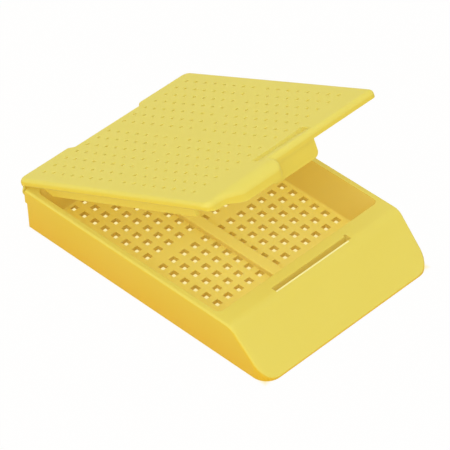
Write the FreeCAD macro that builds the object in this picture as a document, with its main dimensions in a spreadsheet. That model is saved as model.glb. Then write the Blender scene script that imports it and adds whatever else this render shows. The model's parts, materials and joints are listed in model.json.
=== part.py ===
import FreeCAD, Part
import math
import os
import re
import Sketcher

# Tissue cassette: a perforated tray with a sloping front panel, its perforated lid, and the two
# straps of the living hinge that joins them. All three are moulded together.
#
# Millimetres. Every body is drawn from the tray's rear bottom edge: X runs forward to the panel,
# Y is zero on the middle line and Z is up from the underside. The lid is drawn shut. The placements
# then move the bodies so that the origin is the middle of the underside, and swing the lid open.

SIZES = {
    # tray, outside
    "tray_length": 39.3,
    "tray_height": 5.69,
    "base_width": 27.92,
    "rim_width": 28.5,
    "panel_land": 0.15,
    "shoulder_radius": 1.9,
    "front_corner_radius": 2.1,
    "rear_corner_radius": 0.3,
    "tray_edge_radius": 0.35,
    # hinge lugs on the tray's rear wall, and the hinge's axis
    "lug_depth": 0.32,
    "lug_rise": 3.75,
    "hinge_gap_width": 10.8,
    "hinge_back": 0.73,
    "hinge_height": 4.96,
    "rest_angle": 25.6,
    # chamber
    "rear_wall": 1.2,
    "chamber_length": 29.95,
    "chamber_width": 26.8,
    "end_lean": 0.3,
    "side_lean": 0.65,
    "floor_thickness": 0.6,
    "chamber_corner_radius": 0.8,
    "floor_fillet": 0.35,
    "rib_width": 1.6,
    "rib_rise": 0.6,
    "rib_fillet": 0.15,
    # latch slot and the hollow below the panel
    "bulkhead": 1.37,
    "slot_opening": 0.6,
    "slot_length": 12.7,
    "slot_offset": 0.1,
    "slot_notch_length": 0.4,
    "slot_notch_depth": 0.25,
    "slot_edge_radius": 0.15,
    "panel_thickness": 0.9,
    "hollow_width": 26.0,
    # perforations, on one lattice for floor and lid
    "floor_hole": 0.9,
    "lid_hole": 0.43,
    "first_column": 2.02,
    "column_pitch": 1.78,
    "columns": 8,
    "block_step": 2.6,
    "first_row": 1.27,
    "row_pitch": 1.765,
    "rows": 7,
    # lid plate
    "seat_gap": 0.05,
    "lid_thickness": 1.0,
    "lid_overhang": 0.7,
    "lid_recess": 0.85,
    "recess_flare": 0.5,
    "lid_front": 33.3,
    "lid_rear_radius": 1.1,
    "lid_front_radius": 0.75,
    "lid_edge_radius": 0.6,
    "lid_chamfer": 0.3,
    # skirts below the lid
    "skirt_clearance": 0.35,
    "skirt_thickness": 0.6,
    "skirt_depth": 1.5,
    "skirt_end_depth": 0.5,
    "skirt_setback": 0.9,
    "skirt_ramp": 1.7,
    "skirt_front_clearance": 1.15,
    # latch tongue and the groove above it
    "tongue_clearance": 0.1,
    "tongue_width": 7.6,
    "tongue_drop": 2.29,
    "tongue_corner_radius": 0.7,
    "groove_setback": 0.65,
    "groove_width": 1.45,
    "groove_depth": 0.4,
    "groove_length": 8.4,
    "groove_notch_length": 1.1,
    "groove_notch_width": 0.95,
    "groove_notch_setback": 0.25,
    "groove_notch_depth": 0.65,
    # thumb lip
    "lip_clearance": 0.2,
    "lip_thickness": 0.8,
    "lip_reach": 1.02,
    "lip_end": 2.85,
    "lip_end_radius": 1.2,
    "lip_step": 0.8,
    "lip_step_start": 2.4,
    "lip_step_end": 4.85,
    "lip_step_radius": 3.0,
    "lip_corner_radius": 1.2,
    "lip_bend_radius": 1.9,
    # living hinge straps
    "strap_inset": 0.1,
    "strap_foot_rise": 4.75,
    "strap_foot": 0.5,
    "strap_head": 0.35,
}

SIDES = {"left": -1, "right": 1}
UNDERSIDE = "(tray_height + seat_gap)"
LIP_BEND = f"(tray_length + panel_land + lip_clearance * sqrt(2) - {UNDERSIDE})"
LIP_ROOT = f"({LIP_BEND} + lip_thickness * sqrt(2) - lid_thickness)"
LIP_TIP = f"({LIP_BEND} + lip_reach)"

os.makedirs("parts", exist_ok=True)
doc = FreeCAD.newDocument("tissue_cassette")
sheet = doc.addObject("Spreadsheet::Sheet", "Sizes")
for row, (word, number) in enumerate(SIZES.items(), start=1):
    sheet.set(f"A{row}", word)
    sheet.set(f"B{row}", str(number))
    sheet.setAlias(f"B{row}", word)
doc.recompute()


def formula(text):
    """A formula in the sheet's words, as an expression that the document understands."""
    return re.sub(r"[a-z_]{2,}", lambda word: f"Sizes.{word[0]}" if word[0] in SIZES else word[0], text)


def bind(item, **formulas):
    """Tie properties of a document object to formulas; a double underscore stands for a dot."""
    for name, text in formulas.items():
        item.setExpression(name.replace("__", "."), formula(text))


def new_body(name, turned=False):
    """An empty body at the part's origin, swung open about the hinge if it is part of the lid."""
    body = doc.addObject("PartDesign::Body", name)
    body.Label = name
    move = "placement(vector(-tray_length / 2; 0; 0); rotation(vector(0; -1; 0); 0))"
    swing = "placement(vector(0; 0; 0); rotation(vector(0; -1; 0); rest_angle); "
    swing += "vector(-hinge_back; 0; hinge_height))"
    bind(body, Placement=f"{move} * {swing}" if turned else move)
    return body


def origin_part(body, role):
    return next(item for item in body.Origin.OriginFeatures if item.Role == role)


def outline(body, name, plane, corners, height="0"):
    """A straight-sided closed sketch on an origin plane, with every corner given as two formulas."""
    sketch = body.newObject("Sketcher::SketchObject", name)
    sketch.AttachmentSupport = [(origin_part(body, plane), "")]
    sketch.MapMode = "FlatFace"
    bind(sketch, AttachmentOffset__Base__z=height)
    draw(sketch, corners)
    return sketch


def draw(sketch, corners):
    """Add a regular polygon to a sketch, then bind each of its corners to that corner's formulas."""
    turns = [2 * math.pi * index / len(corners) for index in range(len(corners))]
    spots = [FreeCAD.Vector(math.cos(turn), math.sin(turn), 0) for turn in turns]
    first = sketch.GeometryCount
    for index, spot in enumerate(spots):
        sketch.addGeometry(Part.LineSegment(spot, spots[(index + 1) % len(spots)]))
    for index in range(len(spots)):
        follower = first + (index + 1) % len(spots)
        sketch.addConstraint(Sketcher.Constraint("Coincident", first + index, 2, follower, 1))
    for index, (across, along) in enumerate(corners):
        place(sketch, "DistanceX", first + index, across, spots[index].x)
        place(sketch, "DistanceY", first + index, along, spots[index].y)


def place(sketch, kind, index, text, start):
    number = sketch.addConstraint(Sketcher.Constraint(kind, -1, 1, index, 1, start))
    sketch.setExpression(f"Constraints[{number}]", formula(text))


def feature(body, kind, name, **properties):
    item = body.newObject(f"PartDesign::{kind}", name)
    for key, value in properties.items():
        setattr(item, key, value)
    return item


def pad(body, name, sketch, length, **properties):
    item = feature(body, "Pad", name, Profile=sketch, **properties)
    bind(item, Length=length)
    doc.recompute()
    return item


def pocket(body, name, sketch, length=None, **properties):
    """Cut a sketch's outline out of the body, right through where no length is given."""
    before = body.Shape.Volume
    item = feature(body, "Pocket", name, Profile=sketch, **properties)
    if length:
        bind(item, Length=length)
    else:
        item.Type = "ThroughAll"
    doc.recompute()
    assert body.Shape.Volume < before, name
    return item


def fillet(body, name, radius, chosen):
    """Round the edges of the body whose middle point the chosen test accepts."""
    base = body.Tip
    names = [
        f"Edge{number}"
        for number, edge in enumerate(base.Shape.Edges, start=1)
        if chosen(edge, edge.valueAt((edge.FirstParameter + edge.LastParameter) / 2))
    ]
    item = feature(body, "Fillet", name, Base=(base, names))
    bind(item, Radius=radius)
    doc.recompute()
    return item


def size(word):
    return float(sheet.get(word))


def near(value, target):
    return abs(value - target) < 1e-4


def make_tray():
    tray = new_body("tray")
    bottom = ("0", "tray_length", "base_width", "0")
    rim = ("0", "tray_length", "rim_width", "tray_height")
    frustum(tray, "AdditiveWedge", "tray_block", bottom, rim)
    fillet(tray, "tray_front_corners", "front_corner_radius", upright_at(size("tray_length")))
    fillet(tray, "tray_rear_corners", "rear_corner_radius", upright_at(0))
    add_lugs(tray)
    slope_front(tray)
    hollow_chamber(tray)
    hollow_panel(tray)
    perforate(tray, "floor", "floor_hole", "0", "floor_thickness")
    return tray


def frustum(body, kind, name, low, high):
    """A flat-sided block between two rectangles, each given as rear, front, width and height."""
    plane = [(origin_part(body, "XZ_Plane"), "")]
    item = feature(body, kind, name, AttachmentSupport=plane, MapMode="FlatFace")
    bind(item, Xmin=low[0], Xmax=low[1], Zmin=f"-{low[2]} / 2", Zmax=f"{low[2]} / 2", Ymin=low[3])
    bind(item, X2min=high[0], X2max=high[1], Z2min=f"-{high[2]} / 2", Z2max=f"{high[2]} / 2", Ymax=high[3])
    doc.recompute()
    return item


def rectangle(rear, front, width):
    """Corners of a rectangle on the plan, centred on the middle line."""
    left = f"-{width} / 2"
    right = f"{width} / 2"
    return [(rear, left), (front, left), (front, right), (rear, right)]


def upright_at(x):
    """Test for edges that run between the underside and the rim at a given X."""
    return lambda edge, middle: near(middle.x, x) and edge.BoundBox.ZLength > size("tray_height") / 2


def add_lugs(tray):
    """Two proud bands at the top of the rear wall, which carry the hinge straps."""
    flare = "(rim_width - base_width) / 2 * lug_rise / tray_height"
    corners = [
        ("hinge_gap_width / 2", "lug_rise"),
        (f"base_width / 2 + {flare}", "lug_rise"),
        ("rim_width / 2", "tray_height"),
        ("hinge_gap_width / 2", "tray_height"),
    ]
    lug = outline(tray, "lug_outline", "YZ_Plane", corners, "rear_wall / 2")
    item = pad(tray, "right_lug", lug, "lug_depth + rear_wall / 2", Reversed=True)
    mirrored = feature(tray, "Mirrored", "left_lug", Originals=[item])
    mirrored.MirrorPlane = (origin_part(tray, "XZ_Plane"), [""])
    tray.Tip = mirrored
    doc.recompute()
    outer = size("base_width") / 2
    fillet(
        tray,
        "lug_corners",
        "rear_corner_radius",
        lambda edge, middle: near(middle.x, -size("lug_depth"))
        and abs(middle.y) > outer
        and edge.BoundBox.ZLength > edge.BoundBox.YLength,
    )


def slope_front(tray):
    """Cut the front to 45 degrees above its land, then soften the rim and the panel's edges."""
    corners = [
        ("tray_length + panel_land - tray_height", "tray_height"),
        ("tray_length + 1", "tray_height"),
        ("tray_length + 1", "panel_land - 1"),
    ]
    wedge = outline(tray, "panel_cut_outline", "XZ_Plane", corners)
    pocket(tray, "panel_cut", wedge, SideType="Symmetric")
    shoulder = size("tray_length") + size("panel_land") - size("tray_height")
    fillet(
        tray,
        "shoulder",
        "shoulder_radius",
        lambda edge, middle: near(middle.x, shoulder) and near(middle.z, size("tray_height")),
    )
    fillet(tray, "outer_edges", "tray_edge_radius", is_outer_edge)


def is_outer_edge(edge, middle):
    """Edges round the rim and down both sides of the panel, on the outside of the tray."""
    on_side = abs(middle.y) > size("base_width") / 2 - size("front_corner_radius")
    at_rim = near(middle.z, size("tray_height")) and edge.BoundBox.ZLength < 1e-4
    on_panel = middle.x > size("chamber_length") and middle.z > size("panel_land") + 0.01
    flat = abs(middle.x) < size("rear_wall") / 2
    return (at_rim and (on_side or flat)) or (on_panel and on_side and edge.BoundBox.ZLength > 0.05)


def hollow_chamber(tray):
    """The specimen chamber, narrower at the floor than at the rim, with a rib along the floor."""
    front = "rear_wall + chamber_length"
    floor_width = "(chamber_width - 2 * side_lean)"
    low = ("rear_wall + end_lean", f"{front} - end_lean", floor_width, "floor_thickness")
    high = ("rear_wall", front, "chamber_width", "tray_height")
    frustum(tray, "SubtractiveWedge", "chamber", low, high)
    inside = size("chamber_width") / 2
    middle_x = size("rear_wall") + size("chamber_length") / 2
    fillet(
        tray,
        "chamber_corners",
        "chamber_corner_radius",
        lambda edge, middle: abs(middle.y) < inside
        and abs(middle.y) > inside - size("side_lean")
        and abs(middle.x - middle_x) < size("chamber_length") / 2
        and edge.BoundBox.ZLength > size("tray_height") / 2,
    )
    fillet(
        tray,
        "floor_edges",
        "floor_fillet",
        lambda edge, middle: near(middle.z, size("floor_thickness")) and edge.BoundBox.ZLength < 1e-4,
    )
    corners = rectangle("rear_wall", front, "rib_width")
    rib = outline(tray, "rib_outline", "XY_Plane", corners, "floor_thickness")
    pad(tray, "rib", rib, "rib_rise")
    top = size("floor_thickness") + size("rib_rise")
    fillet(
        tray,
        "rib_edges",
        "rib_fillet",
        lambda edge, middle: near(middle.z, top) and edge.BoundBox.XLength > size("chamber_length") / 2,
    )


def hollow_panel(tray):
    """The space under the panel, open below, and the slot in the rim that leads down into it."""
    rear = "rear_wall + chamber_length + bulkhead"
    inner_plane = "tray_length + panel_land - panel_thickness * sqrt(2)"
    corners = [
        (rear, "-1"),
        (f"{inner_plane} + 1", "-1"),
        (f"{inner_plane} - (tray_height - panel_thickness)", "tray_height - panel_thickness"),
        (rear, "tray_height - panel_thickness"),
    ]
    hollow = outline(tray, "hollow_outline", "XZ_Plane", corners)
    pocket(tray, "panel_hollow", hollow, "hollow_width", SideType="Symmetric")
    near_end = "slot_offset - slot_length / 2"
    far_end = "slot_offset + slot_length / 2"
    corners = [
        (rear, near_end),
        (f"{rear} + slot_opening", near_end),
        (f"{rear} + slot_opening", far_end),
        (f"{rear} - slot_notch_depth", far_end),
        (f"{rear} - slot_notch_depth", f"{far_end} - slot_notch_length"),
        (rear, f"{far_end} - slot_notch_length"),
    ]
    slot = outline(tray, "slot_outline", "XY_Plane", corners, "tray_height")
    pocket(tray, "latch_slot", slot, "tray_height / 2")
    front = size("rear_wall") + size("chamber_length") + size("bulkhead") + size("slot_opening")
    below_rim = size("tray_height") - size("panel_thickness") / 2
    fillet(
        tray,
        "slot_front_edge",
        "slot_edge_radius",
        lambda edge, middle: near(middle.x, front)
        and middle.z > below_rim
        and edge.BoundBox.YLength > size("slot_length") / 2,
    )


def perforate(body, name, hole, height, depth):
    """Four blocks of square holes: one hole, its block, the block in front, and both mirrored."""
    corners = [
        (f"first_column - {hole} / 2", f"first_row - {hole} / 2"),
        (f"first_column + {hole} / 2", f"first_row - {hole} / 2"),
        (f"first_column + {hole} / 2", f"first_row + {hole} / 2"),
        (f"first_column - {hole} / 2", f"first_row + {hole} / 2"),
    ]
    square = outline(body, f"{name}_hole_outline", "XY_Plane", corners, height)
    first = pocket(body, f"{name}_hole", square, depth, Reversed=True)
    holes = feature(body, "MultiTransform", f"{name}_holes", Originals=[first])
    columns = repeat(body, f"{name}_columns", "X_Axis", "column_pitch", "columns")
    rows = repeat(body, f"{name}_rows", "Y_Axis", "row_pitch", "rows")
    step = "(columns - 1) * column_pitch + block_step"
    front = repeat(body, f"{name}_front_block", "X_Axis", step, "2")
    side = feature(body, "Mirrored", f"{name}_other_side")
    side.MirrorPlane = (origin_part(body, "XZ_Plane"), [""])
    holes.Transformations = [columns, rows, front, side]
    body.Tip = holes
    doc.recompute()


def repeat(body, name, axis, step, count):
    """A row of copies along an axis, for a multiple transformation."""
    direction = (origin_part(body, axis), [""])
    pattern = feature(body, "LinearPattern", name, Direction=direction, Mode="Spacing")
    bind(pattern, Offset=step, Occurrences=count)
    return pattern


def make_lid():
    """The lid, drawn shut and swung open by its placement."""
    lid = new_body("lid", turned=True)
    add_plate(lid)
    slope_lip(lid)
    trim_lip(lid)
    soften_plate(lid)
    add_skirts(lid)
    add_tongue(lid)
    cut_groove(lid)
    perforate(lid, "lid", "lid_hole", UNDERSIDE, "lid_thickness")
    return lid


def add_plate(lid):
    """The plate's outline, set back at the rear between the two halves of the hinge."""
    side = "rim_width / 2"
    gap = "hinge_gap_width / 2"
    recess = "lid_recess - lid_overhang"
    corners = [
        ("-lid_overhang", f"-{side}"),
        (LIP_TIP, f"-{side}"),
        (LIP_TIP, "-lip_end"),
        ("lid_front", "-lip_end"),
        ("lid_front", side),
        ("-lid_overhang", side),
        ("-lid_overhang", f"{gap} + recess_flare"),
        (recess, gap),
        (recess, f"-{gap}"),
        ("-lid_overhang", f"-{gap} - recess_flare"),
    ]
    bottom = f"{LIP_BEND} + {UNDERSIDE} - {LIP_TIP}"
    plate = outline(lid, "plate_outline", "XY_Plane", corners, bottom)
    pad(lid, "plate", plate, f"{UNDERSIDE} + lid_thickness - ({bottom})")


def trim_lip(lid):
    """Step the lip's edge back towards the left, and round the corners of the plate's outline."""
    side = "rim_width / 2"
    corners = [
        (f"{LIP_TIP} - lip_step", f"-{side} - 1"),
        (f"{LIP_TIP} - lip_step", f"-{side} + lip_step_start"),
        (LIP_TIP, f"-{side} + lip_step_end"),
        (f"{LIP_TIP} + 1", f"-{side} + lip_step_end"),
        (f"{LIP_TIP} + 1", f"-{side} - 1"),
    ]
    step = outline(lid, "lip_step_outline", "XY_Plane", corners)
    pocket(lid, "lip_step", step, SideType="Symmetric")
    edge = size("rim_width") / 2
    tip = lip_bend() + size("lip_reach")
    near_side = tip - size("lip_step")
    fillet(lid, "lid_rear_corners", "lid_rear_radius", post(-size("lid_overhang"), -edge, edge))
    fillet(lid, "lid_front_corner", "lid_front_radius", post(size("lid_front"), edge))
    fillet(lid, "lip_corner", "lip_corner_radius", post(near_side, -edge))
    fillet(lid, "lip_end_corner", "lip_end_radius", post(tip, -size("lip_end")))
    fillet(lid, "lip_step_near", "lip_step_radius", post(near_side, size("lip_step_start") - edge))
    fillet(lid, "lip_step_far", "lip_step_radius", post(tip, size("lip_step_end") - edge))


def post(x, *sides):
    """Test for the upright edges at a given X and any of the given Y values."""
    return lambda edge, middle: near(middle.x, x) and any(near(middle.y, y) for y in sides)


def lip_bend():
    underside = size("tray_height") + size("seat_gap")
    return size("tray_length") + size("panel_land") + size("lip_clearance") * math.sqrt(2) - underside


def slope_lip(lid):
    """Leave the plate at its own thickness, and the lip as a slab that follows the panel."""
    below = [
        ("-tray_height", "-1"),
        ("-tray_height", UNDERSIDE),
        (LIP_BEND, UNDERSIDE),
        (f"{LIP_BEND} + {UNDERSIDE} + 1", "-1"),
    ]
    under = outline(lid, "lip_underside_outline", "XZ_Plane", below)
    pocket(lid, "lip_underside", under, SideType="Symmetric")
    top = f"({UNDERSIDE} + lid_thickness)"
    above = [
        (LIP_ROOT, top),
        (f"{LIP_ROOT} + {top}", top),
        (f"{LIP_ROOT} + {top}", "0"),
    ]
    over = outline(lid, "lip_face_outline", "XZ_Plane", above)
    pocket(lid, "lip_face", over, SideType="Symmetric")
    height = size("tray_height") + size("seat_gap") + size("lid_thickness")
    root = lip_bend() + size("lip_thickness") * math.sqrt(2) - size("lid_thickness")
    fillet(
        lid,
        "lip_bend",
        "lip_bend_radius",
        lambda edge, middle: near(middle.x, root) and near(middle.z, height) and edge.BoundBox.YLength > 1,
    )


def soften_plate(lid):
    """Round the plate's upper edges, lip and all, and bevel its two long lower edges."""
    height = size("tray_height") + size("seat_gap") + size("lid_thickness")
    front = size("lid_front")
    fillet(
        lid,
        "lid_edges",
        "lid_edge_radius",
        lambda edge, middle: near(middle.z, height)
        and edge.BoundBox.ZLength < 1e-4
        and (middle.x < front / 2 or near(middle.x, front)),
    )
    bevels = outline(lid, "bevel_outline", "YZ_Plane", bevel_corners("right"))
    draw(bevels, bevel_corners("left"))
    pocket(lid, "bevels", bevels, SideType="Symmetric")


def bevel_corners(side):
    """A triangle that takes the sharp corner off the plate's lower edge on one side."""
    edge = "rim_width / 2"
    across = [f"{edge} - lid_chamfer", f"{edge} + lid_chamfer", f"{edge} + lid_chamfer"]
    heights = [UNDERSIDE, UNDERSIDE, f"{UNDERSIDE} + 2 * lid_chamfer"]
    sign = "" if SIDES[side] > 0 else "-1 * "
    return [(f"{sign}({y})", z) for y, z in zip(across, heights)]


def add_skirts(lid):
    """Two skirts that hang inside the chamber's side walls, cut away at the rear for the swing."""
    rear = "rear_wall + skirt_setback"
    front = "rear_wall + chamber_length - skirt_front_clearance"
    corners = [
        (rear, UNDERSIDE),
        (rear, f"{UNDERSIDE} - skirt_end_depth"),
        (f"{rear} + skirt_ramp", f"{UNDERSIDE} - skirt_depth"),
        (front, f"{UNDERSIDE} - skirt_depth"),
        (front, UNDERSIDE),
    ]
    outer = "chamber_width / 2 - skirt_clearance"
    for side, sign in SIDES.items():
        height = outer if sign < 0 else f"skirt_thickness - ({outer})"
        skirt = outline(lid, f"{side}_skirt_outline", "XZ_Plane", corners, height)
        pad(lid, f"{side}_skirt", skirt, "skirt_thickness", Reversed=True)


def add_tongue(lid):
    """The latch tongue, which drops through the tray's slot."""
    corners = [
        ("-tongue_width / 2", UNDERSIDE),
        ("-tongue_width / 2", f"{UNDERSIDE} - tongue_drop"),
        ("tongue_width / 2", f"{UNDERSIDE} - tongue_drop"),
        ("tongue_width / 2", UNDERSIDE),
    ]
    rear = "rear_wall + chamber_length + bulkhead + tongue_clearance"
    tongue = outline(lid, "tongue_outline", "YZ_Plane", corners, rear)
    pad(lid, "tongue", tongue, "slot_opening - 2 * tongue_clearance")
    bottom = size("tray_height") + size("seat_gap") - size("tongue_drop")
    fillet(
        lid,
        "tongue_corners",
        "tongue_corner_radius",
        lambda edge, middle: near(middle.z, bottom) and near(abs(middle.y), size("tongue_width") / 2),
    )


def cut_groove(lid):
    """The hollow above the tongue, which slopes up to the front and is deeper at its right end."""
    top = f"({UNDERSIDE} + lid_thickness)"
    front = "lid_front - groove_setback"
    rear = f"({front} - groove_width)"
    corners = [(rear, top), (rear, f"{top} - groove_depth"), (front, top)]
    slope = outline(lid, "groove_outline", "XZ_Plane", corners)
    pocket(lid, "groove", slope, "groove_length", SideType="Symmetric")
    back = f"({rear} - groove_notch_setback)"
    end = "groove_length / 2"
    corners = [
        (back, f"{end} - groove_notch_length"),
        (f"{back} + groove_notch_width", f"{end} - groove_notch_length"),
        (f"{back} + groove_notch_width", end),
        (back, end),
    ]
    notch = outline(lid, "groove_notch_outline", "XY_Plane", corners, top)
    pocket(lid, "groove_notch", notch, "groove_notch_depth")


def make_strap(side, sign):
    """A hinge strap, from a lug on the tray to the rear edge of the open lid's underside."""
    strap = new_body(f"{side}_hinge_strap")
    corners = [
        ("-lug_depth", "strap_foot_rise"),
        ("-lug_depth", "strap_foot_rise + strap_foot"),
        opened("strap_head - lid_overhang", UNDERSIDE),
        opened("-lid_overhang", UNDERSIDE),
    ]
    inner = "(hinge_gap_width / 2 + recess_flare + strap_inset)"
    outer = "(rim_width / 2 - lid_rear_radius - strap_inset)"
    height = f"-{inner}" if sign > 0 else outer
    profile = outline(strap, f"{side}_strap_profile", "XZ_Plane", corners, height)
    pad(strap, f"{side}_strap_sheet", profile, f"{outer} - {inner}", Reversed=True)
    return strap


def opened(x, z):
    """Where a point of the shut lid stands once the lid is open at its rest angle."""
    back = f"({x} + hinge_back)"
    up = f"({z} - hinge_height)"
    return (
        f"{back} * cos(rest_angle) - {up} * sin(rest_angle) - hinge_back",
        f"{back} * sin(rest_angle) + {up} * cos(rest_angle) + hinge_height",
    )


def check_and_write(bodies):
    doc.recompute()
    for item in doc.Objects:
        if "Invalid" in item.State or "Error" in item.State:
            raise RuntimeError(f"{item.Name}: {item.State}")
    for body in bodies:
        if body.Shape.isNull() or not body.Shape.isValid():
            raise RuntimeError(f"{body.Label} has no valid shape")
        body.Shape.exportStep(f"parts/{body.Label}.step")


check_and_write([make_tray(), make_lid(), *(make_strap(side, sign) for side, sign in SIDES.items())])
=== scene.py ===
import json
import math

import bpy
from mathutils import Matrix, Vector


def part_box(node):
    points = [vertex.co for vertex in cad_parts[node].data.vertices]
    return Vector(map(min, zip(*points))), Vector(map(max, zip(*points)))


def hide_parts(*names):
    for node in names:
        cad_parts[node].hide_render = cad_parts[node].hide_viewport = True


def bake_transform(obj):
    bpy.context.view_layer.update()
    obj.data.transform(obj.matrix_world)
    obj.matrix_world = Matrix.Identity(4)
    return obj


# A yellow tissue cassette with its lid ajar, on a plain pale floor.
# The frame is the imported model: metres, +X to the sloping front panel, +Z up from the underside.
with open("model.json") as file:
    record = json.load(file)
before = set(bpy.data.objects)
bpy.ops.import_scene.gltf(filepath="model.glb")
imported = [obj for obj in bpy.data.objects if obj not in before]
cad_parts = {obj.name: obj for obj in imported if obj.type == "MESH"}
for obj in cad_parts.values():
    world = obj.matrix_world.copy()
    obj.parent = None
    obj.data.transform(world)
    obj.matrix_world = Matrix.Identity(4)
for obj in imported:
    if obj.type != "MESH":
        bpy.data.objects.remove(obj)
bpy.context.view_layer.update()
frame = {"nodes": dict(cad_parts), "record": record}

MM = 0.001

# Camera: direction from the object, in degrees round from the -Y side and up from the floor.
CAMERA_TURN = 44.28
CAMERA_RISE = 41.41
CAMERA_DISTANCE = 396 * MM
CAMERA_AIM = Vector((-1.498, 0.941, 1.903)) * MM
CAMERA_LENS = 268.17
CAMERA_SENSOR = 36
CAMERA_CLIP = (0.01, 10)

# Square softboxes aimed at the object: direction as the camera's, power in watts and colour.
LAMPS = (
    ("key", 25, 42, 1.15, (1.0, 1.0, 1.0)),
    ("top", -90, 88, 0.40, (1.0, 0.97, 0.82)),
)
LAMP_DISTANCE = 0.6
LAMP_SIZE = 0.40

# Studio surround: warm at the horizon, and white where a direction's Z part is OVERHEAD or more.
HORIZON_TONE = (1.0, 0.88, 0.66)
OVERHEAD_TONE = (1.0, 1.0, 1.0)
OVERHEAD = 0.7
SURROUND_STRENGTH = 0.73

# Colours of the plastic: mottled on level faces, with painted shade on upright ones that deepens
# down them.
LEVEL_TONES = ((0.797, 0.697, 0.128), (0.812, 0.712, 0.143))
UPRIGHT_LOW_PAINTED_SHADE = (0.800, 0.540, 0.033)
UPRIGHT_HIGH_PAINTED_SHADE = (0.790, 0.655, 0.078)
HIGH = 9 * MM

# How far a face's normal leans from the level, as its Z part, where upright and level faces begin.
UPRIGHT_TILT = 0.25
LEVEL_TILT = 0.65

# Painted light in nooks, holes and grooves, made lighter where the plastic's own walls shade them;
# a nook begins where a facing wall stands this near.
NOOK_PAINTED_LIGHT = (0.82, 0.82, 0.26)
NOOK_DEPTH = 3 * MM
NOOK_SAMPLES = 8

# Painted highlight: a pale glint along the front edge of the latch slot, in a box between its
# lowest and highest corners.
PAINTED_GLINT_TONE = (1.0, 0.96, 0.45)
PAINTED_GLINT_FADE = 0.04 * MM
SLOT_EDGE = (Vector((13.46, -6.2, 5.0)) * MM, Vector((13.74, 5.9, 6.0)) * MM)

# Painted light on the chamber's walls and floor, lighter than outside to make up for the shade of
# the walls and the lid. They stand this far beyond the free room in it.
CHAMBER_WALL_PAINTED_LIGHT = (0.91, 0.775, 0.19)
CHAMBER_FLOOR_PAINTED_LIGHT = (0.98, 0.86, 0.22)
CHAMBER_LEAN = 1.0 * MM
CHAMBER_FADE = 0.08 * MM
FLOOR_GAP = 0.11 * MM

# Light that each face of the plastic lets through, which brightens the chamber under the lid.
PASSED_SHARE = 0.64
PASSED_TONE = (1.0, 0.88, 0.60)

# Depth, shine and roughness of the plastic.
SUBSURFACE_SHARE = 0.3
SUBSURFACE_REACH = (0.4 * MM, 0.4 * MM, 0.3 * MM)
SPECULAR_LEVEL = 0.25
ROUGHNESS = (0.42, 0.54)

# Noise: scale and detail of the mottle and of the fine grain, and how far the grain stands out.
MOTTLE = (120, 3)
GRAIN = (2600, 2)
GRAIN_STRENGTH = 0.12
GRAIN_DEPTH = 0.02 * MM

# The pale floor lies a hair below the underside, so that the two faces don't coincide.
BACKDROP_PAINT = (0.90, 0.72, 0.40)
BACKDROP_WHITE = (1.0, 1.0, 1.0)
BACKDROP_WHITE_SHARE = 0.98
BACKDROP_REACH = 1.5
BACKDROP_SINK = 0.01 * MM

# Painted light on the floor under the tray, seen through its holes: the warm tint of the light that
# the plastic passes on.
UNDER_TRAY_PAINTED_LIGHT = (1.0, 0.86, 0.38)
UNDER_FADE = 1 * MM

# Plate of the lid, which the hinge webs follow round its rear corners.
PLATE_SIDE = 14.25 * MM
PLATE_CORNER = 1.1 * MM

# Hinge webs: how far they reach along the lid, how thick they are and how far they bulge out.
WEB_END = 14.2 * MM
WEB_THICKNESS = 0.34 * MM
WEB_WAIST = 0.2 * MM
WEB_BULGE = 0.3 * MM
WEB_BITE = 0.15 * MM
WEB_STEPS = 10
WEB_STATIONS = 12


def direction(turn, rise):
    """A unit vector from the object, by degrees round from the -Y side and up from the floor."""
    turn = math.radians(turn)
    rise = math.radians(rise)
    return Vector((
        math.sin(turn) * math.cos(rise),
        -math.cos(turn) * math.cos(rise),
        math.sin(rise),
    ))


def add_object(name, data):
    added = bpy.data.objects.new(name, data)
    bpy.context.scene.collection.objects.link(added)
    return added


def add_camera():
    data = bpy.data.cameras.new("camera")
    data.lens = CAMERA_LENS
    data.sensor_width = CAMERA_SENSOR
    data.clip_start, data.clip_end = CAMERA_CLIP
    camera = add_object("camera", data)
    back = direction(CAMERA_TURN, CAMERA_RISE)
    camera.location = CAMERA_AIM + back * CAMERA_DISTANCE
    camera.rotation_euler = back.to_track_quat("Z", "Y").to_euler()
    bpy.context.scene.camera = camera


def add_lamp(name, turn, rise, power, color):
    data = bpy.data.lights.new(name, "AREA")
    data.shape = "SQUARE"
    data.size = LAMP_SIZE
    data.energy = power
    data.color = color
    lamp = add_object(name, data)
    towards = direction(turn, rise)
    lamp.location = towards * LAMP_DISTANCE
    lamp.rotation_euler = towards.to_track_quat("Z", "Y").to_euler()


def new_piece(name, points, faces, material):
    mesh = bpy.data.meshes.new(name)
    mesh.from_pydata(points, [], faces)
    mesh.materials.append(material)
    return add_object(name, mesh)


def new_material(name):
    material = bpy.data.materials.new(name)
    material.use_nodes = True
    tree = material.node_tree
    tree.nodes.clear()
    output = tree.nodes.new("ShaderNodeOutputMaterial")
    return material, tree, output


def feed(tree, source, socket):
    """Fill a socket with a constant, or link a node's output to it."""
    if isinstance(source, bpy.types.NodeSocket):
        tree.links.new(source, socket)
    elif socket.type == "RGBA":
        socket.default_value = (*source, 1)
    else:
        socket.default_value = source


def calculate(tree, node_type, operation, *terms):
    """The result of a math node on numbers, or of a vector math node on vectors."""
    node = tree.nodes.new(node_type)
    node.operation = operation
    for term, socket in zip(terms, node.inputs):
        feed(tree, term, socket)
    return node.outputs[0]


def axes(tree, vector):
    """X, Y and Z of a vector."""
    parts = tree.nodes.new("ShaderNodeSeparateXYZ")
    tree.links.new(vector, parts.inputs["Vector"])
    return parts.outputs


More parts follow.
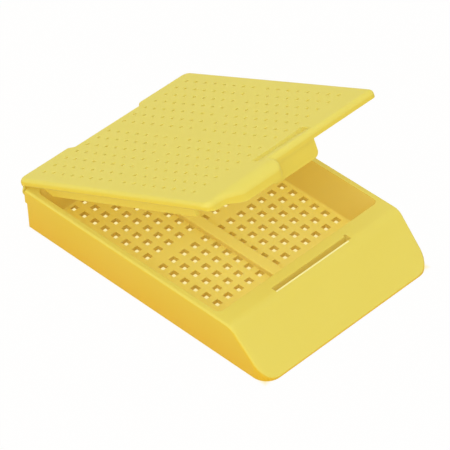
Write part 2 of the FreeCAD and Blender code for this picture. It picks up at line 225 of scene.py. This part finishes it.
def ramp(tree, value, start, end, first=0, last=1, interpolation="LINEAR"):
    """A number that goes from first to last while a value goes from start to end."""
    node = tree.nodes.new("ShaderNodeMapRange")
    node.interpolation_type = interpolation
    node.inputs["From Min"].default_value = start
    node.inputs["From Max"].default_value = end
    node.inputs["To Min"].default_value = first
    node.inputs["To Max"].default_value = last
    tree.links.new(value, node.inputs["Value"])
    return node.outputs["Result"]


def noise(tree, place, scale, detail):
    node = tree.nodes.new("ShaderNodeTexNoise")
    node.inputs["Scale"].default_value = scale
    node.inputs["Detail"].default_value = detail
    tree.links.new(place.outputs["Object"], node.inputs["Vector"])
    return node.outputs["Fac"]


def two_tones(tree, factor, first, second):
    """A mix of two colours, or of two nodes' colours, by a factor."""
    mix = tree.nodes.new("ShaderNodeMix")
    mix.data_type = "RGBA"
    tree.links.new(factor, mix.inputs["Factor"])
    feed(tree, first, mix.inputs["A"])
    feed(tree, second, mix.inputs["B"])
    return mix.outputs["Result"]


def two_shaders(tree, factor, first, second):
    """A mix of two shaders by a factor."""
    mix = tree.nodes.new("ShaderNodeMixShader")
    feed(tree, factor, mix.inputs["Fac"])
    tree.links.new(first, mix.inputs[1])
    tree.links.new(second, mix.inputs[2])
    return mix.outputs["Shader"]


def glow(tree, node_type, color, strength):
    """The shader of a surface or a surround that shines by itself."""
    node = tree.nodes.new(node_type)
    feed(tree, color, node.inputs["Color"])
    node.inputs["Strength"].default_value = strength
    return node.outputs[0]


def level_share(tree, place):
    """1 on level and sloping faces, falling to 0 on upright ones."""
    lean = axes(tree, place.outputs["Normal"])["Z"]
    tilt = calculate(tree, "ShaderNodeMath", "ABSOLUTE", lean)
    return ramp(tree, tilt, UPRIGHT_TILT, LEVEL_TILT, interpolation="SMOOTHSTEP")


def height_share(tree, place):
    """0 at the underside, rising to 1 at HIGH."""
    return ramp(tree, axes(tree, place.outputs["Object"])["Z"], 0, HIGH)


def inside(tree, place, low, high, fade):
    """1 inside a box, fading to 0 outside it."""
    vectors = "ShaderNodeVectorMath"
    offset = calculate(tree, vectors, "SUBTRACT", place.outputs["Object"], (low + high) / 2)
    reach = calculate(tree, vectors, "ABSOLUTE", offset)
    beyond = axes(tree, calculate(tree, vectors, "SUBTRACT", reach, (high - low) / 2))
    farthest = beyond["X"]
    for axis in "YZ":
        farthest = calculate(tree, "ShaderNodeMath", "MAXIMUM", farthest, beyond[axis])
    return ramp(tree, farthest, 0, fade, 1, 0, "SMOOTHSTEP")


def chamber_box():
    """Corners of the chamber, both sides of the rib, out to its leaning walls and its floor."""
    boxes = [opening["box_m"] for opening in frame["record"]["physics"]["openings"]]
    low = Vector([min(box[0][axis] for box in boxes) for axis in range(3)])
    high = Vector([max(box[1][axis] for box in boxes) for axis in range(3)])
    lean = Vector((CHAMBER_LEAN, CHAMBER_LEAN, 0))
    return low - lean - Vector((0, 0, FLOOR_GAP)), high + lean - Vector((0, 0, CHAMBER_FADE))


def passing_light(tree, solid):
    """A face's shader that lets through part of the light from lamps and from other faces."""
    clear = tree.nodes.new("ShaderNodeBsdfTransparent")
    feed(tree, PASSED_TONE, clear.inputs["Color"])
    veil = two_shaders(tree, PASSED_SHARE, solid, clear.outputs["BSDF"])
    rays = tree.nodes.new("ShaderNodeLightPath")
    surface = solid
    for kind in ("Is Shadow Ray", "Is Diffuse Ray"):
        surface = two_shaders(tree, rays.outputs[kind], surface, veil)
    return surface


def acetal_color(tree, place, mottle):
    levelness = level_share(tree, place)
    level = two_tones(tree, mottle, *LEVEL_TONES)
    # Painted shade: upright faces are deeper orange than level ones, and deeper towards the bottom.
    upright = two_tones(tree, height_share(tree, place), UPRIGHT_LOW_PAINTED_SHADE, UPRIGHT_HIGH_PAINTED_SHADE)
    open_face = two_tones(tree, levelness, upright, level)
    # Painted light: nooks that the plastic's own walls shade are made lighter.
    nook = tree.nodes.new("ShaderNodeAmbientOcclusion")
    nook.samples = NOOK_SAMPLES
    nook.only_local = True
    nook.inputs["Distance"].default_value = NOOK_DEPTH
    nook_painted_face = two_tones(tree, nook.outputs["AO"], NOOK_PAINTED_LIGHT, open_face)
    # Painted highlight: a pale glint along the latch slot's front edge.
    painted_glint = inside(tree, place, *SLOT_EDGE, PAINTED_GLINT_FADE)
    outer_face = two_tones(tree, painted_glint, nook_painted_face, PAINTED_GLINT_TONE)
    # Painted light: the chamber's walls and floor are made lighter to make up for the shade under
    # the lid.
    chamber = inside(tree, place, *chamber_box(), CHAMBER_FADE)
    chamber_painted_face = two_tones(tree, levelness, CHAMBER_WALL_PAINTED_LIGHT, CHAMBER_FLOOR_PAINTED_LIGHT)
    return two_tones(tree, chamber, outer_face, chamber_painted_face)


def acetal():
    """Satin yellow acetal, with painted shade deepening down its upright faces, painted light in
    nooks and the chamber, and a painted highlight on the slot's front edge.
    """
    material, tree, output = new_material("yellow_acetal")
    shader = tree.nodes.new("ShaderNodeBsdfPrincipled")
    tree.links.new(passing_light(tree, shader.outputs["BSDF"]), output.inputs["Surface"])
    shader.inputs["Subsurface Weight"].default_value = SUBSURFACE_SHARE
    shader.inputs["Subsurface Radius"].default_value = SUBSURFACE_REACH
    shader.inputs["Subsurface Scale"].default_value = 1.0
    shader.inputs["Specular IOR Level"].default_value = SPECULAR_LEVEL

    place = tree.nodes.new("ShaderNodeTexCoord")
    mottle = noise(tree, place, *MOTTLE)
    tree.links.new(acetal_color(tree, place, mottle), shader.inputs["Base Color"])
    tree.links.new(ramp(tree, mottle, 0, 1, *ROUGHNESS), shader.inputs["Roughness"])

    bump = tree.nodes.new("ShaderNodeBump")
    bump.inputs["Strength"].default_value = GRAIN_STRENGTH
    bump.inputs["Distance"].default_value = GRAIN_DEPTH
    tree.links.new(noise(tree, place, *GRAIN), bump.inputs["Height"])
    tree.links.new(bump.outputs["Normal"], shader.inputs["Normal"])
    return material


def pale_floor():
    """A floor that the camera sees as near white, with a trace of the object's shadow on it and
    painted warm light under the tray.
    """
    material, tree, output = new_material("pale_floor")
    paint = tree.nodes.new("ShaderNodeBsdfDiffuse")
    feed(tree, BACKDROP_PAINT, paint.inputs["Color"])

    # The box of the patch under the tray reaches above and below the floor.
    place = tree.nodes.new("ShaderNodeTexCoord")
    low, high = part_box("tray")
    inset = Vector((UNDER_FADE, UNDER_FADE, -high.z))
    under = inside(tree, place, low + inset, high - inset, UNDER_FADE)
    # Painted light: the floor seen under the tray is tinted warm.
    seen_tone = two_tones(tree, under, BACKDROP_WHITE, UNDER_TRAY_PAINTED_LIGHT)

    white = glow(tree, "ShaderNodeEmission", seen_tone, 1)
    rays = tree.nodes.new("ShaderNodeLightPath")
    camera, glossy = rays.outputs["Is Camera Ray"], rays.outputs["Is Glossy Ray"]
    seen = calculate(tree, "ShaderNodeMath", "MAXIMUM", camera, glossy)
    share = calculate(tree, "ShaderNodeMath", "MULTIPLY", seen, BACKDROP_WHITE_SHARE)
    surface = two_shaders(tree, share, paint.outputs["BSDF"], white)
    tree.links.new(surface, output.inputs["Surface"])
    return material


def add_floor():
    corners = [
        (x * BACKDROP_REACH, y * BACKDROP_REACH, -BACKDROP_SINK)
        for x, y in ((-1, -1), (1, -1), (1, 1), (-1, 1))
    ]
    floor = new_piece("floor", corners, [(0, 1, 2, 3)], pale_floor())


def set_world():
    """A studio surround, white overhead and warm at the horizon, that the camera sees as white."""
    world = bpy.data.worlds.new("studio")
    world.use_nodes = True
    bpy.context.scene.world = world
    tree = world.node_tree
    tree.nodes.clear()
    output = tree.nodes.new("ShaderNodeOutputWorld")
    place = tree.nodes.new("ShaderNodeTexCoord")
    climb = ramp(tree, axes(tree, place.outputs["Generated"])["Z"], 0, OVERHEAD)
    sky = two_tones(tree, climb, HORIZON_TONE, OVERHEAD_TONE)
    light = glow(tree, "ShaderNodeBackground", sky, SURROUND_STRENGTH)
    white = glow(tree, "ShaderNodeBackground", BACKDROP_WHITE, 1)
    rays = tree.nodes.new("ShaderNodeLightPath")
    seen = two_shaders(tree, rays.outputs["Is Camera Ray"], light, white)
    tree.links.new(seen, output.inputs["Surface"])


def web_section(low, high, corner_gap):
    """Outline of a hinge web across the hinge: out of the lug, round the bend, into the plate."""
    foot = Vector((high.x + WEB_BITE, low.z + WEB_THICKNESS))
    head = Vector((low.x + WEB_BITE + corner_gap, (low.z + high.z) / 2 + 2 * WEB_THICKNESS))
    knee = Vector((low.x - WEB_BULGE + corner_gap, low.z + WEB_THICKNESS))
    outer = []
    inner = []
    for step in range(WEB_STEPS + 1):
        t = step / WEB_STEPS
        spot = foot * (1 - t) ** 2 + knee * (2 * t * (1 - t)) + head * t**2
        along = ((knee - foot) * (1 - t) + (head - knee) * t).normalized()
        across = Vector((along.y, -along.x))
        waist = WEB_THICKNESS + (WEB_WAIST - WEB_THICKNESS) * math.sin(math.pi * t)
        outer.append(spot - across * waist / 2)
        inner.append(spot + across * waist / 2)
    return outer + inner[::-1], foot, head


def hinge_web(side, sign, material):
    """A hinge web in place of a CAD strap: a thin sheet that bends between the tray and the lid."""
    node = f"{side}_hinge_strap"
    low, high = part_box(node)
    start = min(abs(low.y), abs(high.y))
    points = []
    for station in range(WEB_STATIONS + 1):
        reach = start + (WEB_END - start) * station / WEB_STATIONS
        round_by = max(0.0, reach - (PLATE_SIDE - PLATE_CORNER))
        corner_gap = PLATE_CORNER - math.sqrt(PLATE_CORNER**2 - round_by**2)
        ring, foot, head = web_section(low, high, corner_gap)
        points += [(spot.x, sign * reach, spot.y) for spot in ring]
    count = 2 * (WEB_STEPS + 1)
    last_ring = len(points) - count
    faces = [tuple(range(count)), tuple(reversed(range(last_ring, len(points))))]
    for station in range(WEB_STATIONS):
        first = station * count
        for index in range(count):
            after = (index + 1) % count
            ahead = first + count
            faces.append((first + index, ahead + index, ahead + after, first + after))
    web = new_piece(f"{side}_hinge_web", points, faces, material)
    web.data.validate()
    web.data.shade_smooth()
    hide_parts(node)
    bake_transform(web)


bpy.context.scene.view_settings.view_transform = "Standard"
plastic = acetal()
for cad_node in frame["nodes"].values():
    cad_node.data.materials.clear()
    cad_node.data.materials.append(plastic)
hinge_web("left", -1, plastic)
hinge_web("right", 1, plastic)
add_floor()
set_world()
for lamp in LAMPS:
    add_lamp(*lamp)
add_camera()
